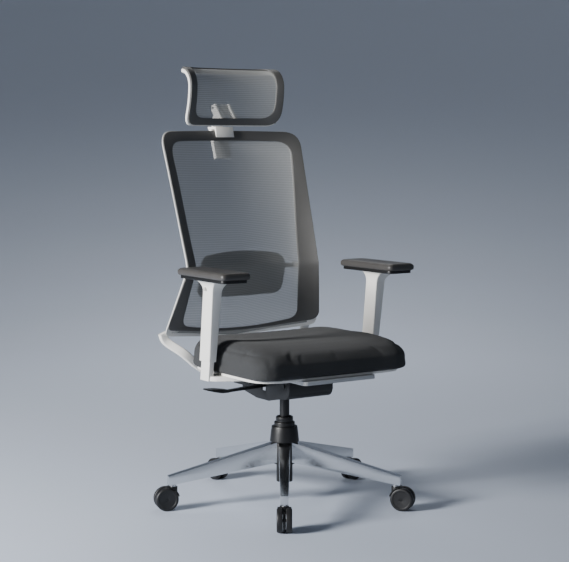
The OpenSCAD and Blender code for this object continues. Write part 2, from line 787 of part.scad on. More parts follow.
star_base();
hub_sleeve();
gas_tube();
guide_bush();
lift_clip();
thrust_bearing();
cover_cup();
cover_stage(29.5, cup_z + 4.2, 231, 2.5);  // cover_ring_lower
cover_stage(24.5, 235.3, 246, 3);  // cover_ring_upper
castor_stems();
castor_hood(0);  // castor_1_hood
castor_hood(1);  // castor_2_hood
castor_hood(2);  // castor_3_hood
castor_hood(3);  // castor_4_hood
castor_hood(4);  // castor_5_hood
castor_wheels(0);  // castor_1_wheels
castor_wheels(1);  // castor_2_wheels
castor_wheels(2);  // castor_3_wheels
castor_wheels(3);  // castor_4_wheels
castor_wheels(4);  // castor_5_wheels
piston_rod();
gas_piston();
release_pin();
mech_housing();
pivot_pins();
tilt_spring();
height_lever();
tilt_lever();
tension_knob();
back_bracket();
seat_plate();
seat_pan();
seat_cushion();
seat_bolts();
back_yoke();
back_frame();
back_rim();
back_mesh();
back_screws();
lumbar_lugs();
lumbar_carrier();
lumbar_pad();
headrest_clip();
headrest_stem();
headrest_pin();
headrest_frame();
headrest_rim();
headrest_mesh();
arm_bracket();  // arm_l_bracket
mirror([1, 0, 0]) arm_bracket();  // arm_r_bracket
arm_sleeve();  // arm_l_sleeve
mirror([1, 0, 0]) arm_sleeve();  // arm_r_sleeve
arm_button();  // arm_l_button
mirror([1, 0, 0]) arm_button();  // arm_r_button
arm_base();  // arm_l_base
mirror([1, 0, 0]) arm_base();  // arm_r_base
arm_pad();  // arm_l_pad
mirror([1, 0, 0]) arm_pad();  // arm_r_pad
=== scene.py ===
"""Looks of a mesh-backed office chair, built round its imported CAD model.

Metres. +Z is up, the sitter faces -Y and +X is the sitter's left.
"""

import logging
import math
from collections.abc import Callable, Iterator, Sequence
from contextlib import contextmanager
from dataclasses import dataclass
from enum import Enum

import bpy
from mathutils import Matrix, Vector


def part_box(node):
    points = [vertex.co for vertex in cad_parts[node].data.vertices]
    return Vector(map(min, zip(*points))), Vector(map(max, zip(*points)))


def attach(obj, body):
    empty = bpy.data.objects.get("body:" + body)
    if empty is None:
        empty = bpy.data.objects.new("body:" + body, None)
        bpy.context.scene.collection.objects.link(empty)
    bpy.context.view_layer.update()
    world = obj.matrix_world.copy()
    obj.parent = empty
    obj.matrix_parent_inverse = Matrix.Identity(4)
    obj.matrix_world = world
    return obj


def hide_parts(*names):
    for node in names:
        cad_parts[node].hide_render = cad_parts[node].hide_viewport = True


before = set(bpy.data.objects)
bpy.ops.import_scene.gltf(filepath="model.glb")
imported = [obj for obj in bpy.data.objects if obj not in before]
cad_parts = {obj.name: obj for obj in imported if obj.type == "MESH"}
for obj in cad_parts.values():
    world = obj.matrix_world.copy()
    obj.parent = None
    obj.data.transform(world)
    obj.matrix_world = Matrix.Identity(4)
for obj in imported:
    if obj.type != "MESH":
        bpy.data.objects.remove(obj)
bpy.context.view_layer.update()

log = logging.getLogger("chair")
MM = 0.001

Object = bpy.types.Object
Material = bpy.types.Material
Ring = list[Vector]
Flat = tuple[float, float]


class Side(Enum):
    """Which side a piece is on, named from the sitter."""

    LEFT = 1
    RIGHT = -1

    @property
    def letter(self) -> str:
        """The letter that CAD names use for this side."""
        return "l" if self is Side.LEFT else "r"


# ---- shaping -------------------------------------------------------------------


def deselect_all() -> None:
    """Leave nothing selected."""
    bpy.ops.object.select_all(action="DESELECT")


def take(obj: Object) -> None:
    """Make one object the only selected and the active one."""
    deselect_all()
    obj.select_set(True)
    bpy.context.view_layer.objects.active = obj


@contextmanager
def editing(obj: Object) -> Iterator[None]:
    """Open an object in edit mode with all of its mesh selected."""
    take(obj)
    bpy.ops.object.mode_set(mode="EDIT")
    bpy.ops.mesh.select_all(action="SELECT")
    yield
    bpy.ops.object.mode_set(mode="OBJECT")


def named(name: str) -> Object:
    """Name the primitive that was just added.

    Args:
        name: the piece's name.

    Returns:
        The primitive.
    """
    obj = bpy.context.active_object
    obj.name = name
    obj.data.name = name
    return obj


def modify(obj: Object, kind: str, **settings: object) -> None:
    """Add one modifier and apply it.

    Args:
        obj: the piece.
        kind: the modifier's type.
        settings: its settings.
    """
    take(obj)
    modifier = obj.modifiers.new(kind.lower(), kind)
    for key, value in settings.items():
        setattr(modifier, key, value)
    bpy.ops.object.modifier_apply(modifier=modifier.name)


def subdivide(obj: Object, levels: int) -> None:
    """Round a piece with subdivision surfaces."""
    modify(obj, "SUBSURF", levels=levels, render_levels=levels)


def smooth(obj: Object, degrees: float = 35.0) -> None:
    """Shade a piece smooth except across edges sharper than an angle."""
    take(obj)
    bpy.ops.object.shade_smooth_by_angle(angle=math.radians(degrees))


def face_outwards(obj: Object) -> None:
    """Point every face of a closed piece outwards."""
    with editing(obj):
        bpy.ops.mesh.normals_make_consistent(inside=False)


def middle(points: Ring) -> Vector:
    """The mean of some points."""
    return sum(points, Vector()) / len(points)


def loft(name: str, rings: Sequence[Ring]) -> Object:
    """Draw a sphere's rows of vertices out into a closed skin through some rings.

    Args:
        name: the piece's name.
        rings: the rings, all with as many points, from one end to the other.

    Returns:
        The piece, with a pole at the middle of its first and its last ring.
    """
    segments = len(rings[0])
    rows = len(rings) + 1
    deselect_all()
    bpy.ops.mesh.primitive_uv_sphere_add(segments=segments, ring_count=rows)
    obj = named(name)
    poles = {0: middle(rings[0]), rows: middle(rings[-1])}
    for vertex in obj.data.vertices:
        x, y, z = vertex.co
        row = round(math.acos(max(-1.0, min(1.0, z))) * rows / math.pi)
        step = round(math.atan2(y, x) * segments / math.tau) % segments
        vertex.co = poles[row] if row in poles else rings[row - 1][step]
    face_outwards(obj)
    return obj


def hoop(name: str, sections: Sequence[Ring]) -> Object:
    """Draw a torus out into a frame that closes on itself.

    Args:
        name: the piece's name.
        sections: the cross-sections, all with as many points, once round.

    Returns:
        The frame.
    """
    around, across = len(sections), len(sections[0])
    deselect_all()
    bpy.ops.mesh.primitive_torus_add(
        major_segments=around, minor_segments=across, major_radius=2.0, minor_radius=1.0
    )
    obj = named(name)
    for vertex in obj.data.vertices:
        x, y, z = vertex.co
        i = round(math.atan2(y, x) * around / math.tau) % around
        j = round(math.atan2(z, math.hypot(x, y) - 2.0) * across / math.tau) % across
        vertex.co = sections[i][j]
    face_outwards(obj)
    return obj


def slab(name: str, corners: Sequence[Vector], through: tuple[float, float, float], radius: float) -> Object:
    """Extrude a flat outline and round its edges.

    Args:
        name: the piece's name.
        corners: the outline.
        through: how far and which way it is extruded.
        radius: the rounding's width.

    Returns:
        The slab.
    """
    deselect_all()
    bpy.ops.mesh.primitive_circle_add(vertices=len(corners), fill_type="NGON")
    obj = named(name)
    for vertex, corner in zip(obj.data.vertices, corners):
        vertex.co = corner
    with editing(obj):
        bpy.ops.mesh.extrude_region_move(TRANSFORM_OT_translate={"value": through})
    face_outwards(obj)
    modify(obj, "BEVEL", width=radius, segments=3, limit_method="ANGLE", angle_limit=math.radians(30))
    smooth(obj)
    return obj


def cloth_grid(name: str, across: int, along: int, place: Callable[[float, float], Vector]) -> Object:
    """Lay a grid over a surface.

    Args:
        name: the piece's name.
        across: squares from side to side.
        along: squares from foot to top.
        place: gives the point for a place on the grid, each from -1 to 1.

    Returns:
        The sheet, whose UV map runs from 0 to 1 over it.
    """
    deselect_all()
    bpy.ops.mesh.primitive_grid_add(x_subdivisions=across, y_subdivisions=along, size=2.0)
    obj = named(name)
    for vertex in obj.data.vertices:
        vertex.co = place(vertex.co.x, vertex.co.y)
    return obj


def rounded_outline(corners: Sequence[Flat], rounds: Sequence[float], bend: int, run: int) -> list[Flat]:
    """A closed outline through corners that are rounded by curves.

    Args:
        corners: the sharp corners, in order.
        rounds: how far from each corner its curve starts.
        bend: steps along each curve.
        run: steps along each straight.

    Returns:
        The outline's points.
    """
    count = len(corners)
    points = [Vector(c) for c in corners]
    curves: list[list[Vector]] = []
    for i, (p, t) in enumerate(zip(points, rounds)):
        start = p + (points[i - 1] - p).normalized() * t
        end = p + (points[(i + 1) % count] - p).normalized() * t
        steps = [k / bend for k in range(bend + 1)]
        curves.append([(1 - s) ** 2 * start + 2 * s * (1 - s) * p + s * s * end for s in steps])
    outline: list[Flat] = []
    for i, curve in enumerate(curves):
        follow = curves[(i + 1) % count][0]
        outline += [tuple(v) for v in curve]
        outline += [tuple(curve[-1].lerp(follow, k / run)) for k in range(1, run)]
    return outline


def rounded_section(width: float, front: float, rear: float, radius: float, steps: int = 4) -> list[Flat]:
    """A rounded rectangle, as (distance across, depth) points.

    Args:
        width: its size across.
        front: its lowest depth.
        rear: its highest depth.
        radius: the radius of its corners.
        steps: steps round each corner.

    Returns:
        The points, once round.
    """
    centres = [
        (radius, front + radius, 180.0),
        (width - radius, front + radius, 270.0),
        (width - radius, rear - radius, 0.0),
        (radius, rear - radius, 90.0),
    ]
    points: list[Flat] = []
    for across, depth, start in centres:
        for k in range(steps + 1):
            turn = math.radians(start + 90.0 * k / steps)
            points.append((across + radius * math.cos(turn), depth + radius * math.sin(turn)))
    return points


def band(
    name: str, outer: list[Flat], inner: list[Flat], depths: Flat, radius: float,
    on_face: Callable[[float, float, float], Vector], bevel: float = 0.0,
) -> Object:
    """Make a frame between two outlines that follows a curved face.

    Args:
        name: the piece's name.
        outer: its outer side, measured along the face.
        inner: its inner side.
        depths: how far its front and its rear lie behind the face.
        radius: the radius of its edges.
        on_face: gives the point for a place on the face and a depth behind it.
        bevel: how far its outer side slopes in from front to rear.

    Returns:
        The frame.
    """
    sections = []
    for (x0, y0), (x1, y1) in zip(outer, inner):
        width = math.hypot(x1 - x0, y1 - y0)
        ring = []
        for across, depth in rounded_section(width, depths[0], depths[1], radius):
            slope = bevel * (depth - depths[0]) / (depths[1] - depths[0])
            share = (across + slope * (1 - across / width)) / width
            ring.append(on_face(x0 + (x1 - x0) * share, y0 + (y1 - y0) * share, depth))
        sections.append(ring)
    return hoop(name, sections)


def curved(path: Sequence[Vector], steps: int) -> Ring:
    """A smooth curve through some points.

    Args:
        path: the points.
        steps: steps between two of them.

    Returns:
        The curve's points.
    """
    points: Ring = []
    last = len(path) - 1
    for i in range(last):
        a, b = path[i], path[i + 1]
        enter = (b - path[max(i - 1, 0)]) / 2
        leave = (path[min(i + 2, last)] - a) / 2
        for k in range(steps):
            s = k / steps
            points.append(
                (2 * s**3 - 3 * s**2 + 1) * a + (s**3 - 2 * s**2 + s) * enter
                + (3 * s**2 - 2 * s**3) * b + (s**3 - s**2) * leave
            )
    points.append(path[last].copy())
    return points


def softened(name: str, node: str, radius: float) -> Object:
    """Copy a CAD part and round its sharp edges.

    Args:
        name: the new piece's name.
        node: the CAD node.
        radius: the rounding's width.

    Returns:
        The new piece, which stands for the node.
    """
    obj = bpy.data.objects.new(name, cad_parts[node].data.copy())
    obj.data.name = name
    bpy.context.scene.collection.objects.link(obj)
    with editing(obj):
        bpy.ops.mesh.customdata_custom_splitnormals_clear()
        bpy.ops.mesh.remove_doubles(threshold=0.00002)
        bpy.ops.mesh.dissolve_limited(angle_limit=math.radians(0.6))
    modify(
        obj, "BEVEL", width=radius, segments=3, limit_method="ANGLE",
        angle_limit=math.radians(32), harden_normals=False,
    )
    smooth(obj)
    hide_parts(node)
    return obj


# ---- finishes ------------------------------------------------------------------


def linear(code: str) -> tuple[float, float, float, float]:
    """Turn an sRGB hex colour into linear values."""
    parts = [int(code[i:i + 2], 16) / 255 for i in (1, 3, 5)]
    red, green, blue = (p / 12.92 if p <= 0.04045 else ((p + 0.055) / 1.055) ** 2.4 for p in parts)
    return red, green, blue, 1.0


def add_node(
    tree: bpy.types.NodeTree, kind: str, inputs: dict[str | int, object] | None = None, **settings: object
) -> bpy.types.Node:
    """Add one shader node.

    Args:
        tree: the material's node tree.
        kind: the node's type.
        inputs: a value or a socket to link, for each input.
        settings: the node's own settings.

    Returns:
        The node.
    """
    made = tree.nodes.new(kind)
    for key, value in settings.items():
        setattr(made, key, value)
    for key, value in (inputs or {}).items():
        if isinstance(value, bpy.types.NodeSocket):
            tree.links.new(value, made.inputs[key])
        else:
            made.inputs[key].default_value = value
    return made


@dataclass(frozen=True)
class Finish:
    """A surface with a fine grain and a slight change of tone over it."""

    name: str
    colour: str
    rough: float
    metallic: float = 0.0
    grain: float = 1.2 * MM
    relief: float = 0.04 * MM
    tone: float = 0.06
    patch: float = 60 * MM
    sheen: float = 0.0

    def material(self) -> Material:
        """Make the material."""
        made = bpy.data.materials.new(self.name)
        made.use_nodes = True
        made.node_tree.nodes.clear()
        self.draw(made.node_tree)
        return made

    def place(self, tree: bpy.types.NodeTree) -> bpy.types.NodeSocket:
        """The object's own coordinates, in metres."""
        return add_node(tree, "ShaderNodeTexCoord").outputs["Object"]

    def toned(self, tree: bpy.types.NodeTree, place: bpy.types.NodeSocket) -> bpy.types.NodeSocket:
        """The colour, a little lighter and darker from patch to patch."""
        cloud = add_node(
            tree, "ShaderNodeTexNoise", {"Vector": place, "Scale": 1 / self.patch, "Detail": 3.0}
        )
        level = add_node(
            tree, "ShaderNodeMapRange",
            {"Value": cloud.outputs["Fac"], "From Min": 0.3, "From Max": 0.7,
             "To Min": 1.0 - self.tone, "To Max": 1.0 + self.tone},
        )
        mixed = add_node(
            tree, "ShaderNodeVectorMath",
            {0: linear(self.colour)[:3], "Scale": level.outputs["Result"]}, operation="SCALE",
        )
        return mixed.outputs["Vector"]

    def height(self, tree: bpy.types.NodeTree, place: bpy.types.NodeSocket) -> bpy.types.NodeSocket:
        """The grain's height, from 0 to 1."""
        made = add_node(tree, "ShaderNodeTexNoise", {"Vector": place, "Scale": 1 / self.grain, "Detail": 2.0})
        return made.outputs["Fac"]

    def draw(self, tree: bpy.types.NodeTree) -> None:
        """Lay out the whole shader."""
        place = self.place(tree)
        height = self.height(tree, place)
        bump = add_node(
            tree, "ShaderNodeBump", {"Height": height, "Strength": 1.0, "Distance": self.relief}
        )
        rough = add_node(
            tree, "ShaderNodeMapRange",
            {"Value": height, "From Min": 0.3, "From Max": 0.7,
             "To Min": self.rough - 0.05, "To Max": self.rough + 0.05},
        )
        shader = add_node(
            tree, "ShaderNodeBsdfPrincipled",
            {"Base Color": self.toned(tree, place), "Metallic": self.metallic,
             "Roughness": rough.outputs["Result"], "Normal": bump.outputs["Normal"],
             "Sheen Weight": self.sheen, "Sheen Roughness": 0.5},
        )
        self.close(tree, shader)

    def close(self, tree: bpy.types.NodeTree, shader: bpy.types.Node) -> None:
        """Send the shader to the output."""
        add_node(tree, "ShaderNodeOutputMaterial", {"Surface": shader.outputs["BSDF"]})


@dataclass(frozen=True)
class Woven(Finish):
    """Upholstery cloth: rows of crossing threads, the same on every face of a pad."""

    thread: float = 2.6 * MM

    def height(self, tree: bpy.types.NodeTree, place: bpy.types.NodeSocket) -> bpy.types.NodeSocket:
        """Threads over and under each other, with the yarn's own unevenness."""
        scaled = add_node(
            tree, "ShaderNodeVectorMath", {0: place, "Scale": math.tau / self.thread}, operation="SCALE"
        )
        axes = add_node(tree, "ShaderNodeSeparateXYZ", {0: scaled.outputs["Vector"]})
        waves = [
            add_node(tree, "ShaderNodeMath", {0: axes.outputs[i]}, operation="SINE").outputs[0]
            for i in range(3)
        ]
        total = None
        for i in range(3):
            pair = add_node(
                tree, "ShaderNodeMath", {0: waves[i], 1: waves[(i + 1) % 3]}, operation="MULTIPLY"
            ).outputs[0]
            total = pair if total is None else add_node(
                tree, "ShaderNodeMath", {0: total, 1: pair}, operation="ADD"
            ).outputs[0]
        yarn = add_node(tree, "ShaderNodeTexNoise", {"Vector": place, "Scale": 1 / self.grain, "Detail": 2.0})
        return add_node(
            tree, "ShaderNodeMath", {0: total, 1: 0.25, 2: yarn.outputs["Fac"]}, operation="MULTIPLY_ADD"
        ).outputs[0]


@dataclass(frozen=True)
class StretchMesh(Finish):
    """Elastic knitted mesh: see-through between ribs that run from side to side.

    The ribs are drawn coarser than the real ones, so that they show.
    """

    width: float = 0.4
    length: float = 0.6
    rib: float = 5.5 * MM
    pitch: float = 4.0 * MM
    solid: float = 0.68
    swing: float = 0.14

    def draw(self, tree: bpy.types.NodeTree) -> None:
        """Lay out the whole shader, with the holes as alpha."""
        flat = add_node(tree, "ShaderNodeTexCoord").outputs["UV"]
        sized = add_node(
            tree, "ShaderNodeVectorMath", {0: flat, 1: (self.width, self.length, 1.0)}, operation="MULTIPLY"
        )
        axes = add_node(tree, "ShaderNodeSeparateXYZ", {0: sized.outputs["Vector"]})
        rows = []
        for socket, spacing in ((axes.outputs[0], self.pitch), (axes.outputs[1], self.rib)):
            turned = add_node(
                tree, "ShaderNodeMath", {0: socket, 1: math.tau / spacing}, operation="MULTIPLY"
            )
            rows.append(add_node(tree, "ShaderNodeMath", {0: turned.outputs[0]}, operation="SINE").outputs[0])
        threads = add_node(
            tree, "ShaderNodeMath", {0: rows[0], 1: 0.4, 2: rows[1]}, operation="MULTIPLY_ADD"
        ).outputs[0]
        alpha = add_node(
            tree, "ShaderNodeMapRange",
            {"Value": threads, "From Min": -1.4, "From Max": 1.4,
             "To Min": self.solid - self.swing, "To Max": self.solid + self.swing},
        )
        bump = add_node(
            tree, "ShaderNodeBump", {"Height": threads, "Strength": 0.6, "Distance": self.relief}
        )
        shader = add_node(
            tree, "ShaderNodeBsdfPrincipled",
            {"Base Color": linear(self.colour), "Roughness": self.rough,
             "Normal": bump.outputs["Normal"], "Alpha": alpha.outputs["Result"],
             "Sheen Weight": self.sheen, "Sheen Roughness": 0.5},
        )
        self.close(tree, shader)


# Glass-filled nylon, spark-eroded mould: warm white, satin, with a faint grain
WHITE_NYLON = Finish("white_nylon", "#e6e4de", 0.42, grain=1.4 * MM, relief=0.03 * MM, tone=0.02)
# The same nylon in dark grey: duller, so it reads almost black away from the light
GREY_NYLON = Finish("dark_grey_nylon", "#545351", 0.5, grain=1.4 * MM, relief=0.05 * MM, tone=0.04)
# Black moulded nylon: even, with a soft broad highlight
BLACK_NYLON = Finish("black_nylon", "#070708", 0.42, grain=1.2 * MM, relief=0.05 * MM, tone=0.08)
# Castor wheels in black polyurethane: a little greyer and duller than the hoods
TREAD = Finish("castor_polyurethane", "#141416", 0.5, grain=2.0 * MM, relief=0.06 * MM, tone=0.1)
# Cast steel under black powder coat: a pebbled skin that breaks up the highlight
POWDER_COAT = Finish("black_powder_coat", "#050506", 0.38, grain=2.2 * MM, relief=0.08 * MM, tone=0.1)
# Pressed steel painted light grey
GREY_PAINT = Finish("light_grey_paint", "#b4b6b7", 0.45, grain=2.0 * MM, relief=0.03 * MM, tone=0.03)
# Black acetal: slick and slightly waxy
BLACK_ACETAL = Finish("black_acetal", "#18181a", 0.3, tone=0.03)
# Light grey moulded button
GREY_BUTTON = Finish("light_grey_nylon", "#b9b7b1", 0.45, grain=1.2 * MM, tone=0.03)
# Die-cast aluminium, polished: a near mirror with faint buffing lines
ALLOY = Finish(
    "polished_aluminium", "#dfe1e3", 0.2, metallic=1.0, grain=6.0 * MM, relief=0.01 * MM, tone=0.03
)
# Zinc-plated steel: bright grey, slightly cloudy
ZINC = Finish("zinc_plated_steel", "#b7b9bc", 0.3, metallic=1.0, grain=1.0 * MM, relief=0.01 * MM, tone=0.06)
# Integral-skin polyurethane foam: a dull leathery skin
PAD_SKIN = Finish("polyurethane_skin", "#413f3d", 0.4, grain=1.6 * MM, relief=0.12 * MM, tone=0.05)
# Charcoal polyester upholstery. The threads are drawn at twice their size, so that they show
SEAT_CLOTH = Woven(
    "charcoal_upholstery", "#2f3031", 0.92, grain=1.1 * MM, relief=0.3 * MM, tone=0.07, sheen=0.05
)


# ---- fitting -------------------------------------------------------------------


class Wardrobe:
    """Every finish's material, made once."""

    def __init__(self) -> None:
        """Start with nothing made."""
        self.made: dict[str, Material] = {}

    def get(self, finish: Finish) -> Material:
        """The material of a finish."""
        if finish.name not in self.made:
            self.made[finish.name] = finish.material()
        return self.made[finish.name]


WARDROBE = Wardrobe()


def dress(obj: Object, finish: Finish) -> None:
    """Give a piece one finish all over."""
    obj.data.materials.clear()
    obj.data.materials.append(WARDROBE.get(finish))
    for polygon in obj.data.polygons:
        polygon.material_index = 0


def fit(obj: Object, body: str, finish: Finish, slot: str, *nodes: str) -> None:
    """Dress a finished piece and hang it on its body.

    Args:
        obj: the piece.
        body: the CAD body that it moves with.
        finish: its finish.
        slot: a material slot's name; not used.
        nodes: the CAD nodes that it stands for.
    """
    dress(obj, finish)
    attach(obj, body)
    if nodes:
        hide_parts(*nodes)
    log.info("%s rides on %s", obj.name, body)


def rounded_part(node: str, made: str, radius: float, body: str, finish: Finish, slot: str) -> None:
    """Round a CAD part's edges, dress it and hang it on its body.

    Args:
        node: the CAD node.
        made: how it is made, which ends the new piece's name.
        radius: the rounding's width.
        body: the CAD body that it moves with.
        finish: its finish.
        slot: a material slot's name, handed to fit, which does not use it.
    """
    fit(softened(f"{node}_{made}", node, radius), body, finish, slot)


def keep(node: str, finish: Finish) -> None:
    """Leave a CAD part as it is, with a better finish."""
    dress(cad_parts[node], finish)
    log.info("%s kept", node)


# ---- the base ------------------------------------------------------------------


@dataclass
class StarBase:
    """Five polished legs, the black sleeve round their hub and the castors."""

    edge: float = 1.6 * MM
    castors: int = 5

    def build(self) -> None:
        """Make every piece of the base."""
        rounded_part("star_base", "casting", self.edge, "base", ALLOY, "alloy")
        rounded_part("hub_sleeve", "moulding", 0.8 * MM, "base", BLACK_NYLON, "black_plastic")
        for i in range(1, self.castors + 1):
            self.castor(i)
        keep("castor_stems", ZINC)

    def castor(self, number: int) -> None:
        """Make one castor's hood and its wheels."""
        castor = f"castor_{number}"
        rounded_part(f"{castor}_hood", "moulding", 0.7 * MM, f"{castor}_fork", BLACK_NYLON, "black_plastic")
        rounded_part(f"{castor}_wheels", "moulding", 0.5 * MM, f"{castor}_roll", TREAD, "castor_tread")


@dataclass
class GasLift:
    """The sliding tube, its covers and what is inside them."""

    edge: float = 0.8 * MM

    def build(self) -> None:
        """Make every piece of the lift."""
        for node in ("cover_cup", "cover_ring_lower", "cover_ring_upper"):
            rounded_part(node, "moulding", self.edge, "base", BLACK_NYLON, "black_plastic")
        for node in ("gas_tube", "gas_piston"):
            keep(node, POWDER_COAT)
        keep("guide_bush", BLACK_ACETAL)
        for node in ("lift_clip", "thrust_bearing", "piston_rod", "release_pin"):
            keep(node, ZINC)


# ---- the mechanism -------------------------------------------------------------


@dataclass
class TiltMechanism:
    """The black housing under the seat, its levers, knob, pins and spring."""

    edge: float = 2.5 * MM
    lever_edge: float = 1.6 * MM

    def build(self) -> None:
        """Make every piece of the mechanism."""
        rounded_part("mech_housing", "casting", self.edge, "chassis", POWDER_COAT, "black_metal")
        rounded_part("back_bracket", "casting", self.edge, "back", POWDER_COAT, "black_metal")
        rounded_part(
            "height_lever", "moulding", self.lever_edge, "height_handle", BLACK_NYLON, "black_plastic"
        )
        rounded_part("tilt_lever", "moulding", self.lever_edge, "tilt_handle", BLACK_NYLON, "black_plastic")
        rounded_part("tension_knob", "moulding", 0.8 * MM, "tension", BLACK_NYLON, "black_plastic")
        keep("pivot_pins", POWDER_COAT)
        for node in ("tilt_spring", "seat_bolts", "back_screws"):
            keep(node, ZINC)


# ---- the seat ------------------------------------------------------------------


@dataclass
class Seat:
    """The seat plate, the white pan and the crowned cushion on it."""

    swell: float = 7 * MM
    voxel: float = 5 * MM
    frames: int = 20
    pressure: float = 4.0
    seam_depth: float = 2.2 * MM
    seam_width: float = 3.2 * MM
    corner_front: float = 0.062
    corner_rear: float = 0.110
    bolster: float = 5 * MM
    waterfall: float = 26 * MM
    dish: float = 7 * MM

    def __post_init__(self) -> None:
        """Read where the cushion sits."""
        low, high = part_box("seat_cushion")
        self.half = high.x
        self.front = low.y
        self.rear = high.y
        self.foot = low.z
        self.top = high.z

    def build(self) -> None:
        """Make every piece of the seat."""
        rounded_part("seat_plate", "pressing", 1.2 * MM, "seat", GREY_PAINT, "grey_metal")
        rounded_part("seat_pan", "moulding", 1.6 * MM, "seat", WHITE_NYLON, "white_plastic")
        cushion = self.cushion()
        fit(cushion, "seat", SEAT_CLOTH, "seat_fabric", "seat_cushion")

    def plan(self, inset: float) -> list[Flat]:
        """The cushion's outline from above, moved in by an inset."""
        x, front, rear = self.half - inset, self.front + inset, self.rear - inset
        ahead, behind = self.corner_front - inset * 0.3, self.corner_rear - inset * 0.3
        corners = [(-x, front), (x, front), (x, rear), (-x, rear)]
        return rounded_outline(corners, [ahead, ahead, behind, behind], 8, 10)

    def crown(self, x: float, y: float) -> float:
        """How far the top lies below the cushion's highest line."""
        across = abs(x) / self.half
        along = (y - self.front) / (self.rear - self.front)
        bolster = self.bolster * math.exp(-(((across - 0.78) / 0.16) ** 2))
        waterfall = self.waterfall * max(0.0, 0.42 - along) ** 2 / 0.42**2
        dish = self.dish * math.exp(-(((along - 0.66) / 0.2) ** 2)) * (1 - across**2)
        return waterfall + dish - bolster

    def cushion(self) -> Object:
        """Loft the cushion, let it swell, then sew its seams."""
        height = self.top - self.foot - 4 * MM
        levels = [
            (60, 0.0), (20, 0.0), (12, 0.02), (7, 0.08), (5, 0.2), (4, 0.4), (5, 0.58), (8, 0.7),
            (13, 0.81), (20, 0.89), (30, 0.94), (46, 0.97), (70, 0.99), (100, 1.0), (137, 1.0), (175, 1.0),
        ]
        rings = []
        for inset, share in levels:
            rise = max(0.0, share - 0.45) / 0.55
            ring = [
                Vector((x, y, self.foot + share * height - rise * self.crown(x, y)))
                for x, y in self.plan(inset * MM)
            ]
            rings.append(ring)
        shape = loft("seat_cushion_cover", rings)
        self.inflate(shape)
        self.sew(shape)
        smooth(shape, 180)
        return shape

    def inflate(self, shape: Object) -> None:
        """Let the cover swell under its foam, keeping its foot flat on the pan."""
        modify(shape, "REMESH", mode="VOXEL", voxel_size=self.voxel, use_smooth_shade=True)
        start = [v.co.copy() for v in shape.data.vertices]
        take(shape)
        cloth = shape.modifiers.new("cloth", "CLOTH")
        cloth.settings.use_pressure = True
        cloth.settings.uniform_pressure_force = self.pressure
        cloth.settings.effector_weights.gravity = 0.0
        cloth.settings.mass = 0.3
        cloth.settings.quality = 6
        cloth.point_cache.frame_end = self.frames
        for number in range(1, self.frames + 1):
            bpy.context.scene.frame_set(number)
        bpy.ops.object.modifier_apply(modifier="cloth")
        for vertex, before in zip(shape.data.vertices, start):
            move = vertex.co - before
            share = min(1.0, max(0.0, (before.z - self.foot - 4 * MM) / (20 * MM)))
            vertex.co = before + move * min(1.0, self.swell / max(move.length, 1e-9)) * share
        subdivide(shape, 1)

    def seam_distance(self, y: float, z: float) -> float:
        """How far a point of the side lies from the seam that edges the side panel."""
        radius = 42 * MM
        top = self.top - 15 * MM
        front = self.front + 12 * MM
        if y > front + radius:
            return abs(z - top)
        if z < top - radius:
            return abs(y - front)
        return abs(math.hypot(y - front - radius, z - top + radius) - radius)

    def sew(self, shape: Object) -> None:
        """Press the seams between the side panels and the top panel into the cover."""
        for vertex in shape.data.vertices:
            x, y, z = vertex.co
            if abs(x) < self.half * 0.7 or y > self.rear - 60 * MM:
                continue
            gap = self.seam_distance(y, z)
            depth = self.seam_depth * math.exp(-((gap / self.seam_width) ** 2))
            vertex.co = vertex.co - Vector((math.copysign(depth, x), 0.0, depth * 0.6))


# ---- the back ------------------------------------------------------------------


